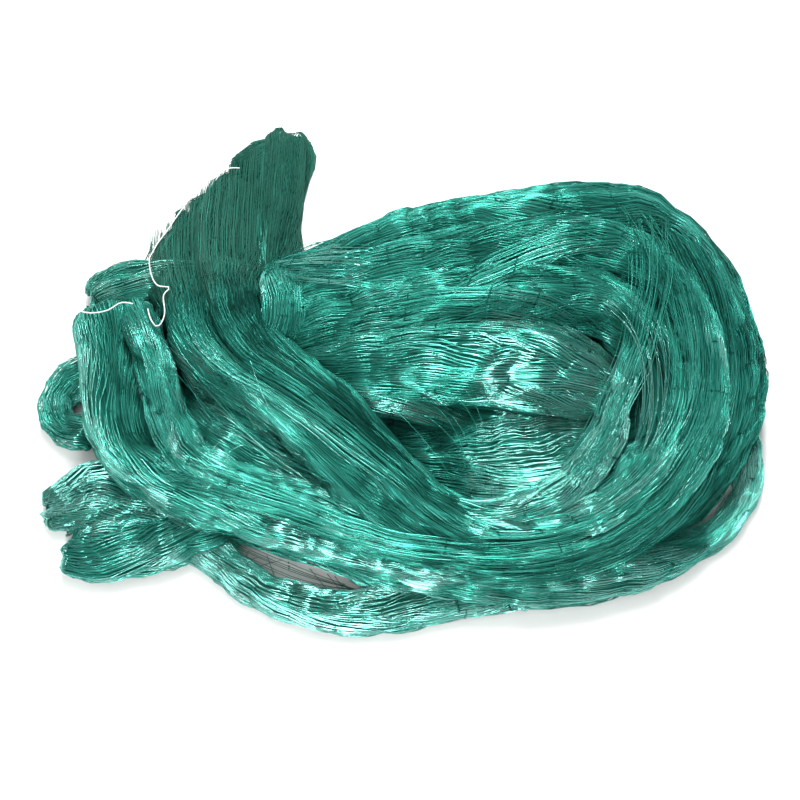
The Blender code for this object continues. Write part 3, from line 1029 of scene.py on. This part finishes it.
HANK = (
    # x    y   z  wide thick
    (-177, 46, 22, 48, 46),
    (-173, 28, 25, 47, 52),
    (-170, 0, 26, 44, 54),
    (-167, -25, 25, 42, 52),
    (-157, -46, 24, 40, 50),
    (-136, -64, 23, 34, 46),
    (-110, -77, 22, 32, 44),
    (-83, -90, 21, 28, 38),
    (-53, -99, 20, 27, 36),
    (-20, -109, 20, 28, 36),
    (17, -116, 19, 29, 36),
    (58, -119, 17, 30, 36),
    (100, -118, 15, 30, 34),
    (135, -110, 14, 28, 30),
    (155, -104, 12, 24, 26),
    (174, -96, 9, 17, 20),
    (193, -83, 8, 13, 18),
    (205, -65, 8, 13, 18),
    (209, -44, 10, 14, 20),
    (204, -24, 12, 14, 22),
)

HANK_GROOVES = (
    # way round, from, to, deep (less than nothing stands out), wide
    (0.36, 5, 115, 10, 7),
    (0.255, 0, 105, 12, 5),
    (0.16, 0, 110, -4, 5),
    (0.0, 150, 255, 6, 13),
)

hank = Bunch("hank", HANK, seed=14, ragged=5, grooves=HANK_GROOVES)
core_of(hank)
strands_of(
    hank, deepest=4, warm=((0, 0.5), (70, 0.5), (110, 0.3)),
    tone=((0, 0.7), (90, 0.66), (130, 0.6), (230, 0.75)),
)


# ---------------------------------------------------------------------- the rib
# The fold that stands up along the right edge of the hank, and the band that
# it runs into. It is the same netting, doubled over and pressed upright.

RIB = (
    # x    y   z  wide thick
    (-163, 44, 22, 22, 40),
    (-152, 20, 30, 22, 52),
    (-143, -4, 31, 22, 56),
    (-136, -29, 30, 22, 54),
    (-121, -53, 27, 28, 50),
    (-88, -70, 26, 31, 46),
    (-53, -80, 26, 30, 44),
    (-20, -96, 26, 28, 40),
    (14, -109, 24, 25, 36),
    (56, -115, 21, 20, 30),
)

rib = Bunch("rib", RIB, seed=15)
core_of(rib)
strands_of(rib, tone=0.64, deepest=9)


# ------------------------------------------------------------------- the hollow
# The netting low down between the hank and the slanting band. It is pulled
# in under both, so it lies in shade and is painted dark at its ends, and one knuckle of it stands up,
# painted pale as a highlight.

HOLLOW = (
    # x    y   z  wide thick
    (-136, -2, 10, 30, 26),
    (-118, -22, 17, 34, 38),
    (-104, -34, 22, 42, 48),
    (-80, -46, 20, 44, 44),
    (-54, -58, 17, 40, 36),
    (-30, -72, 16, 32, 32),
)

hollow = Bunch("hollow", HOLLOW, seed=16)
core_of(hollow)
strands_of(
    hollow, deepest=14,
    tone=((0, 0.08), (16, 0.15), (28, 0.85), (42, 0.7), (56, 0.4), (95, 0.1)),
)


# --------------------------------------------------------------------- the loop
# The small loop that sticks out of the hank to the left: a few strands' worth
# of netting, pulled out and bent round on itself.

LOOP = (
    # x    y   z  wide thick
    (-180, 9, 10, 22, 23),
    (-197, 7, 10, 22, 22),
    (-209, -6, 9, 17, 20),
    (-205, -22, 9, 16, 20),
    (-184, -28, 10, 16, 22),
)

loop = Bunch("loop", LOOP, seed=17)
core_of(loop)
strands_of(loop, tone=0.5, deepest=5)


# -------------------------------------------------------------- the upper bight
# The upper one of the two bights that stick out at the front left, with its
# netting folded back at the tip.

BIGHT_UPPER = (
    # x    y   z  wide thick
    (-217, -73, 5, 18, 12),
    (-202, -72, 7, 30, 16),
    (-180, -65, 9, 44, 22),
    (-149, -68, 9, 46, 24),
    (-116, -80, 10, 36, 26),
)

bight_upper = Bunch("bight_upper", BIGHT_UPPER, seed=18, ragged=6)
core_of(bight_upper)
# Painted highlight: its strands are painted very pale, as the light on the bight.
strands_of(bight_upper, tone=((0, 1.1), (40, 1.0)))


# -------------------------------------------------------------- the lower bight
# The lower one of those two bights, which is broader. It is folded back in
# the same way, and goes in under the front of the hank.

BIGHT_LOWER = (
    # x    y   z  wide thick
    (-200, -98, 7, 28, 16),
    (-181, -101, 8, 36, 20),
    (-153, -96, 9, 38, 24),
    (-124, -87, 10, 34, 26),
    (-94, -82, 11, 28, 28),
)

bight_lower = Bunch("bight_lower", BIGHT_LOWER, seed=19, ragged=6)
core_of(bight_lower)
# Painted highlight: its strands are painted pale, as the light on the bight.
strands_of(bight_lower, tone=((0, 0.8), (40, 0.65)))


# ---------------------------------------------------------------------- the hem
# The thin band along the front edge, under the place where the netting is
# so thin that the table shows through.

HEM = (
    # x    y   z  wide thick
    (-146, -89, 7, 22, 18),
    (-122, -94, 7, 24, 19),
    (-97, -110, 7, 22, 19),
    (-73, -125, 7, 22, 18),
    (-39, -134, 7, 26, 18),
    (-4, -133, 8, 28, 20),
    (31, -126, 9, 28, 22),
    (75, -120, 10, 26, 24),
)

hem = Bunch("hem", HEM, seed=20, grooves=((0.5, 40, 150, 4, 10),))
core_of(hem)
strands_of(hem, tone=1.0)


# ------------------------------------------------------------------ the knuckle
# A knuckle of netting that is squeezed up beside the slanting turn, where
# the loose end is pulled in under the body of the heap.

KNUCKLE = (
    # x    y   z  wide thick
    (-72, 78, 14, 16, 20),
    (-71, 54, 44, 25, 28),
    (-67, 36, 55, 28, 30),
    (-70, 18, 50, 26, 28),
    (-84, 0, 36, 20, 24),
)

knuckle = Bunch("knuckle", KNUCKLE, seed=21, lumps=0.6)
core_of(knuckle)
strands_of(knuckle, tone=((0, 0.1), (30, 0.4), (50, 0.7), (80, 0.4)), deepest=5)


# ------------------------------------------------------------ the slanting turn
# Where the loose end turns into the slanting band, its outer netting swings
# round in a loose S. It lies over the bunches and bridges the dips in them.

LOOK_DOWN_FROM = 200.0
SAG_TURNS = 40


def surface_of(pieces):
    """All the faces of these pieces in one tree, to lay things on."""
    places = []
    faces = []
    for piece in pieces:
        first = len(places)
        places += [tuple(vert.co) for vert in piece.data.vertices]
        faces += [[first + i for i in face.vertices] for face in piece.data.polygons]
    return BVHTree.FromPolygons(places, faces)


heap_top = surface_of(cores)


def top_under(places):
    """How high the heap is under places in plan, and which way it faces there."""
    heights = np.zeros(places.shape[:-1])
    facing = np.zeros(places.shape[:-1] + (3,))
    facing[..., 2] = 1.0
    for index in np.ndindex(heights.shape):
        x, y = places[index]
        above = Vector((x, y, LOOK_DOWN_FROM)) * MM
        hit, normal, _, _ = heap_top.ray_cast(above, Vector((0.0, 0.0, -1.0)))
        if hit is not None:
            heights[index] = hit.z / MM
            facing[index] = normal
    return heights, facing


def spaced(line, count):
    """A line's points, moved along it so that they are evenly spaced."""
    steps = np.linalg.norm(np.diff(line, axis=0), axis=1)
    run = np.concatenate(([0.0], np.cumsum(steps)))
    at = np.linspace(0.0, run[-1], count)
    return np.stack([np.interp(at, run, column) for column in line.T], -1), run[-1]


def settled(floor, turns=SAG_TURNS):
    """Heights of a strand that lies on a floor but stays stretched over its dips."""
    height = floor.copy()
    for _ in range(turns):
        height[:, 1:-1] = np.maximum(floor[:, 1:-1], (height[:, :-2] + height[:, 2:]) / 2)
    return height


# A loose hank's steps along and groups across, how it spreads, bellies and
# differs in shade, and how far the last points of its ends are tucked in.
HANK_POINTS = 20
DRAPE_STEP = 7.0
DRAPE_LEAST_STEPS = 5
DRAPE_GROUP = 9
DRAPE_UNEVEN = 0.4
DRAPE_DRIFT = 0.6
DRAPE_GATHER = 1.5
DRAPE_BELLY = 0.6
DRAPE_HEIGHTS = 0.5
DRAPE_SHADE = 0.2
PLEAT_SHADE = 0.05
DRAPE_FLOOR = 0.4
TUCKED_ENDS = ((0, 1.0), (1, 0.25), (-1, 1.0), (-2, 0.25))


def drape(
    gathered, outer, inner, count, seed, lift=3.0, sink=6.0, loose=0.15, ragged=0.15,
    scallop=0.0, pleat=0.0, tone=0.5, lean=0.0, warm=0.3, knots=0.3, slack=1.0,
    radius=STRAND_RADIUS,
):
    """Lays a loose hank over the heap, spread from an outer to an inner route.

    It lies lift above the bunches, with its ends sunk in. Loose is how much its strands
    cross and ragged how unevenly they end. A scallop draws its folded edge in and out, a
    pleat lifts and lowers it, and lean makes its outer side paler than its inner one.
    """
    rng = np.random.default_rng(seed)
    outer_line = curve_through(outer, HANK_POINTS)
    inner_line = curve_through(inner, HANK_POINTS)
    points = max(DRAPE_LEAST_STEPS, round(spaced(outer_line, 2)[1] / DRAPE_STEP) + 1)
    outer_line, length = spaced(outer_line, points)
    inner_line, _ = spaced(inner_line, points)
    t = np.linspace(0.0, 1.0, points)
    row = t * length / MESH_ROW + rng.uniform(0.0, 1.0)
    share = np.arange(count) + rng.uniform(-DRAPE_UNEVEN, DRAPE_UNEVEN, count)
    share /= max(count - 1, 1)
    drift = loose * rng.normal(0.0, DRAPE_DRIFT, (2, count, 1))
    groups = max(2, count // DRAPE_GROUP) + 1
    hills = rng.uniform(-1.0, 1.0, (math.ceil(row[-1]) + 1, groups, 3))
    place = np.clip(share, 0.0, 0.999) * (groups - 1)
    group = place.astype(int)
    ease = blended(place - group)[:, None, None]
    rows = np.floor(row).astype(int)
    swell = hills[rows][:, group].transpose(1, 0, 2) * (1 - ease)
    swell += hills[rows][:, group + 1].transpose(1, 0, 2) * ease
    belly = np.sin(np.pi * (row % 1.0))
    width = np.linalg.norm(outer_line - inner_line, axis=1).mean() + 1.0
    folds = rng.uniform(-1.0, 1.0, 2 * groups + 1)
    fold = np.interp(np.clip(share, 0.0, 1.0) * 2 * groups, np.arange(2 * groups + 1), folds)
    across = share[:, None] + drift[0] * (1 - t) + drift[1] * t
    across = across + DRAPE_GATHER * slack * belly * swell[..., 0] / width
    late = t + scallop / length * (1 + fold[:, None]) * (1 - t)
    outer_at = np.stack([np.interp(late, t, column) for column in outer_line.T], -1)
    inner_at = np.stack([np.interp(late, t, column) for column in inner_line.T], -1)
    plan = outer_at + (inner_at - outer_at) * across[..., None] - HEAP_MIDDLE[:2]
    ground, facing = top_under(plan)
    floor = ground + lift + rng.uniform(-DRAPE_HEIGHTS, DRAPE_HEIGHTS, count)[:, None]
    floor = floor + pleat * fold[:, None] + slack * belly * (DRAPE_BELLY + swell[..., 1])
    height = settled(floor)
    uneven_ends = max(1, round(ragged * points)) + 1
    begin = rng.integers(0, uneven_ends, count)
    end = points - rng.integers(0, uneven_ends, count)
    if scallop:
        begin[:] = 0
    tones = along_it(tone, t * length) + rng.normal(0.0, TONE_SPREAD, count)[:, None]
    tones = tones + lean * (0.5 - share[:, None])
    # Tone that differs at random by group, and painted light and shade on the pleats: raised ones paler,
    # sunken ones darker.
    tones = tones + DRAPE_SHADE * swell[..., 2] + PLEAT_SHADE * pleat * fold[:, None]
    warms = along_it(warm, t * length) + rng.normal(0.0, WARM_SPREAD, count)[:, None]
    route = np.concatenate((plan, height[..., None]), -1)
    for i in range(count):
        run = route[i, begin[i]:end[i]].copy()
        if len(run) < SHORTEST:
            continue
        for place_in_run, part in TUCKED_ENDS:
            run[place_in_run, 2] -= sink * part
        run[:, 2] = np.maximum(run[:, 2], DRAPE_FLOOR)
        shown = slice(begin[i], end[i])
        gathered.add(run, facing[i, shown], tones[i, shown], warms[i, shown], radius)
        for j in np.flatnonzero(np.diff(rows)):
            if begin[i] < j < end[i] - 2 and swell[i, j, 0] > 1.0 - 2.0 * knots:
                ahead = route[i, j + 1] - route[i, j]
                gathered.add_knot(route[i, j], ahead, facing[i, j], warms[i, j])


def loose_hanks(name, hanks, seed, **looks):
    """Lays each of these hanks over the heap, and makes one mesh of them all."""
    gathered = Strands()
    for number, (outer, inner, count, tone) in enumerate(hanks):
        drape(gathered, outer, inner, count, seed + number, tone=tone, **looks)
    gathered.made(name)


SLANTING_TURN = (
    # outer route, inner route, strands, tone
    (((-141, 70), (-136, 46), (-129, 20), (-112, -2), (-86, -20), (-56, -40), (-22, -66), (10, -88)),
     ((-92, 74), (-88, 50), (-84, 30), (-74, 8), (-52, -10), (-28, -30), (-2, -54), (26, -78)), 64,
     ((0, 0.05), (40, 0.12), (70, 0.34), (100, 0.4), (150, 0.35))),
)
loose_hanks("slanting_turn", SLANTING_TURN, 201, lean=1.0)


# ------------------------------------------------------------ the spread netting
# The netting of the loose end, spread out flat over its folds. Its strands
# run straight down from the slanting folded edge, whose pleats make scallops.

SPREAD_ROUTES = (
    ((-160, 110), (-157, 90), (-151, 68), (-143, 42)),
    ((-140, 134), (-140, 108), (-136, 76), (-128, 46)),
    ((-121, 154), (-122, 120), (-120, 85), (-113, 52)),
    ((-105, 163), (-104, 130), (-103, 90), (-99, 54)),
    ((-86, 180), (-87, 140), (-87, 100), (-86, 58)),
    ((-60, 183), (-60, 150), (-64, 118), (-69, 92)),
)
# The last pair of routes is painted dark, as the shadow beside the right fold.
SPREAD_TONES = (0.34, 0.38, 0.4, 0.28, 0.04)
spread = Strands()
for number, tone in enumerate(SPREAD_TONES):
    outer, inner = SPREAD_ROUTES[number:number + 2]
    drape(
        spread, outer, inner, 30, 191 + number, lift=2.2, sink=1.6, loose=0.1, scallop=4.0,
        pleat=1.0, tone=((0, tone), (60, tone), (100, 0.08)),
        warm=((0, 0.95), (60, 0.85), (110, 0.6)), knots=0.05, slack=0.5,
    )
# One paler hank lies loose on top of it.
drape(
    spread, ((-89, 124), (-88, 96), (-87, 64)), ((-84, 124), (-83, 96), (-81, 62)), 14, 198,
    lift=3.4, tone=0.75, warm=0.6, knots=0.0,
)
spread.made("spread_netting")


# ------------------------------------------------------------ the loose hanks
# Loose hanks of the same netting, which slid off their bunches when the heap
# was thrown down. They cross the dips between the bunches at a slant.

BACK_HANKS = (
    # outer route, inner route, strands, tone
    (((20, 40), (60, 62), (100, 78), (140, 82)), ((10, 20), (56, 44), (98, 60), (142, 66)), 22, 0.62),
    (((-76, 84), (-62, 85), (-40, 83), (-10, 82)), ((-86, 56), (-64, 50), (-36, 44), (-6, 38)), 40,
     ((0, 0.35), (18, 0.95), (36, 0.9), (60, 0.45))),
    (((160, 98), (157, 50), (148, 10), (135, -24), (119, -53), (94, -78)),
     ((138, 94), (136, 50), (130, 12), (119, -16), (107, -42), (84, -66)), 30,
     ((0, 0.2), (85, 0.35), (120, 0.8), (180, 0.8))),
    (((-30, 30), (20, 38), (60, 40), (100, 32), (126, 16)),
     ((-30, 6), (20, 12), (60, 13), (94, 8), (112, 2)), 40,
     ((0, 0.4), (60, 0.6), (100, 0.8), (160, 0.6))),
)
loose_hanks("back_hanks", BACK_HANKS, 210)

RIGHT_HANKS = (
    (((172, 96), (190, 60), (199, 20), (199, -14), (190, -44), (170, -76), (142, -98)),
     ((134, 104), (142, 80), (151, 50), (158, 22), (160, -10), (151, -42), (128, -72), (92, -94)), 84,
     ((0, 0.2), (60, 0.2), (120, 0.5), (180, 0.8))),
)
loose_hanks("right_hanks", RIGHT_HANKS, 221, lift=2.4)

FRONT_HANKS = (
    (((-150, -64), (-110, -78), (-70, -90), (-30, -104), (10, -114), (60, -118)),
     ((-140, -50), (-104, -62), (-66, -76), (-26, -92), (14, -104), (60, -108)), 34, 0.54),
    (((10, -121), (60, -127), (112, -119), (154, -97), (180, -62), (186, -20)),
     ((20, -108), (60, -113), (106, -106), (142, -85), (164, -54), (170, -18)), 30, 0.5),
    (((30, -120), (80, -118), (126, -104), (160, -78), (184, -44)),
     ((30, -104), (78, -104), (120, -92), (150, -68), (172, -38)), 24, 0.46),
)
loose_hanks("front_hanks", FRONT_HANKS, 230)


# ------------------------------------------------------------ the thin places
# Two places where the netting is a single layer and the table shows through
# its meshes: between the front band and the hem, and at the front right.

THIN_PLACES = (
    # outer route, inner route, strands, tone
    (((-112, -92), (-84, -100), (-52, -111), (-20, -122)),
     ((-106, -104), (-84, -116), (-54, -128), (-18, -128)), 9, 0.42),
    (((-100, -94), (-102, -108)), ((-24, -118), (-26, -132)), 13, 0.42),
    (((165, -98), (180, -84), (194, -66), (202, -46)),
     ((176, -98), (190, -86), (204, -68), (210, -50)), 7, 0.42),
    (((170, -90), (180, -100)), ((200, -48), (212, -56)), 9, 0.42),
)
loose_hanks(
    "thin_netting", THIN_PLACES, 250, lift=1.0, sink=1.0, loose=0.25, warm=0.9, slack=0.4, radius=0.2
)


# ------------------------------------------------------------ the strays
# Single strands of the netting that have sprung out of the bunches. They are
# held at their ends only, so they cross the hollows and catch the light.

STRAYS = (
    # outer route, inner route, strands, tone
    (((-140, 30), (-118, -6), (-86, -30), (-52, -58)),
     ((-120, -44), (-96, -40), (-66, -62), (-30, -80)), 22, 0.75),
    (((-150, 20), (-120, -20), (-96, -50)), ((-100, 20), (-84, -20), (-60, -56)), 14, 0.7),
    (((0, -22), (16, -38), (30, -60), (40, -84)), ((14, -14), (36, -30), (48, -52), (56, -80)), 6, 0.5),
    (((128, 30), (139, 4), (139, -30), (128, -60)),
     ((146, 30), (152, 0), (150, -34), (138, -66)), 18, 1.0),
    (((60, 80), (100, 60), (140, 50)), ((70, 40), (110, 66), (150, 70)), 6, 0.7),
)
loose_hanks(
    "stray_strands", STRAYS, 270, lift=5.0, loose=0.5, ragged=0.25, knots=0.0, slack=0.2, radius=0.15
)


# ------------------------------------------------------------ the threads
# A white cotton thread, left over from gathering the cut edge of the net, lies
# in loose curves over the flattened end, and a short bit of it on the hank.

THREAD_DIAMETER = 0.8
THREAD_STEP = 2.4
THREAD_LIFT = 4.6
THREAD_SMOOTHING = 6
THREAD_OFFSETS = ((0.0, 0.0), (3.0, 0.0), (-3.0, 0.0), (0.0, 3.0), (0.0, -3.0))


def cotton():
    """Soft white cotton, a little uneven where its fibres are thicker."""
    finish = Finish("white_cotton", Roughness=0.85)
    place = finish.node("ShaderNodeTexCoord", output=3)
    fibres = finish.node("ShaderNodeTexNoise", Vector=place, Scale=2600.0, Detail=2.0)
    white = finish.node(
        "ShaderNodeValToRGB",
        stops=((0.30, (0.62, 0.64, 0.60)), (0.70, (0.90, 0.91, 0.88))),
        Fac=fibres,
    )
    finish.feed("Base Color", white)
    finish.feed("Normal", finish.node("ShaderNodeBump", Strength=0.4, Distance=0.0002, Height=fibres))
    return finish.material


WHITE_COTTON = cotton()
THREADS = {
    "edge_thread": (
        (-103, 153), (-111, 152), (-120, 144), (-129, 143), (-134, 132), (-141, 118),
        (-148, 105), (-153, 95), (-155, 83), (-153, 70), (-147, 58), (-139, 54),
        (-142, 48), (-140, 34), (-143, 24), (-147, 28), (-150, 37),
    ),
    "fold_thread": (
        (-190, 36), (-184, 34), (-175, 37), (-167, 42), (-159, 40),
    ),
}
for name, rows in THREADS.items():
    line = curve_through(rows, HANK_POINTS)
    line, length = spaced(line, round(spaced(line, 2)[1] / THREAD_STEP) + 1)
    plan = (line - HEAP_MIDDLE[:2])[None]
    ground = np.max([top_under(plan + offset)[0] for offset in THREAD_OFFSETS], 0)
    height = settled(ground + THREAD_LIFT, THREAD_SMOOTHING)
    route = np.concatenate((plan, height[..., None]), -1)[0] * MM
    thread = bpy.data.curves.new(name + "_cotton", "CURVE")
    thread.dimensions = "3D"
    thread.bevel_depth = THREAD_DIAMETER / 2 * MM
    thread.bevel_resolution = 1
    thread.use_fill_caps = True
    spline = thread.splines.new("POLY")
    spline.points.add(len(route) - 1)
    for point, place in zip(spline.points, route):
        point.co = (*place, 1.0)
    thread.materials.append(WHITE_COTTON)
    piece = bpy.data.objects.new(name + "_cotton", thread)
    bpy.context.scene.collection.objects.link(piece)
    lay(piece)
    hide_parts(name)
    length = float(np.linalg.norm(np.diff(route, axis=0), axis=1).sum())
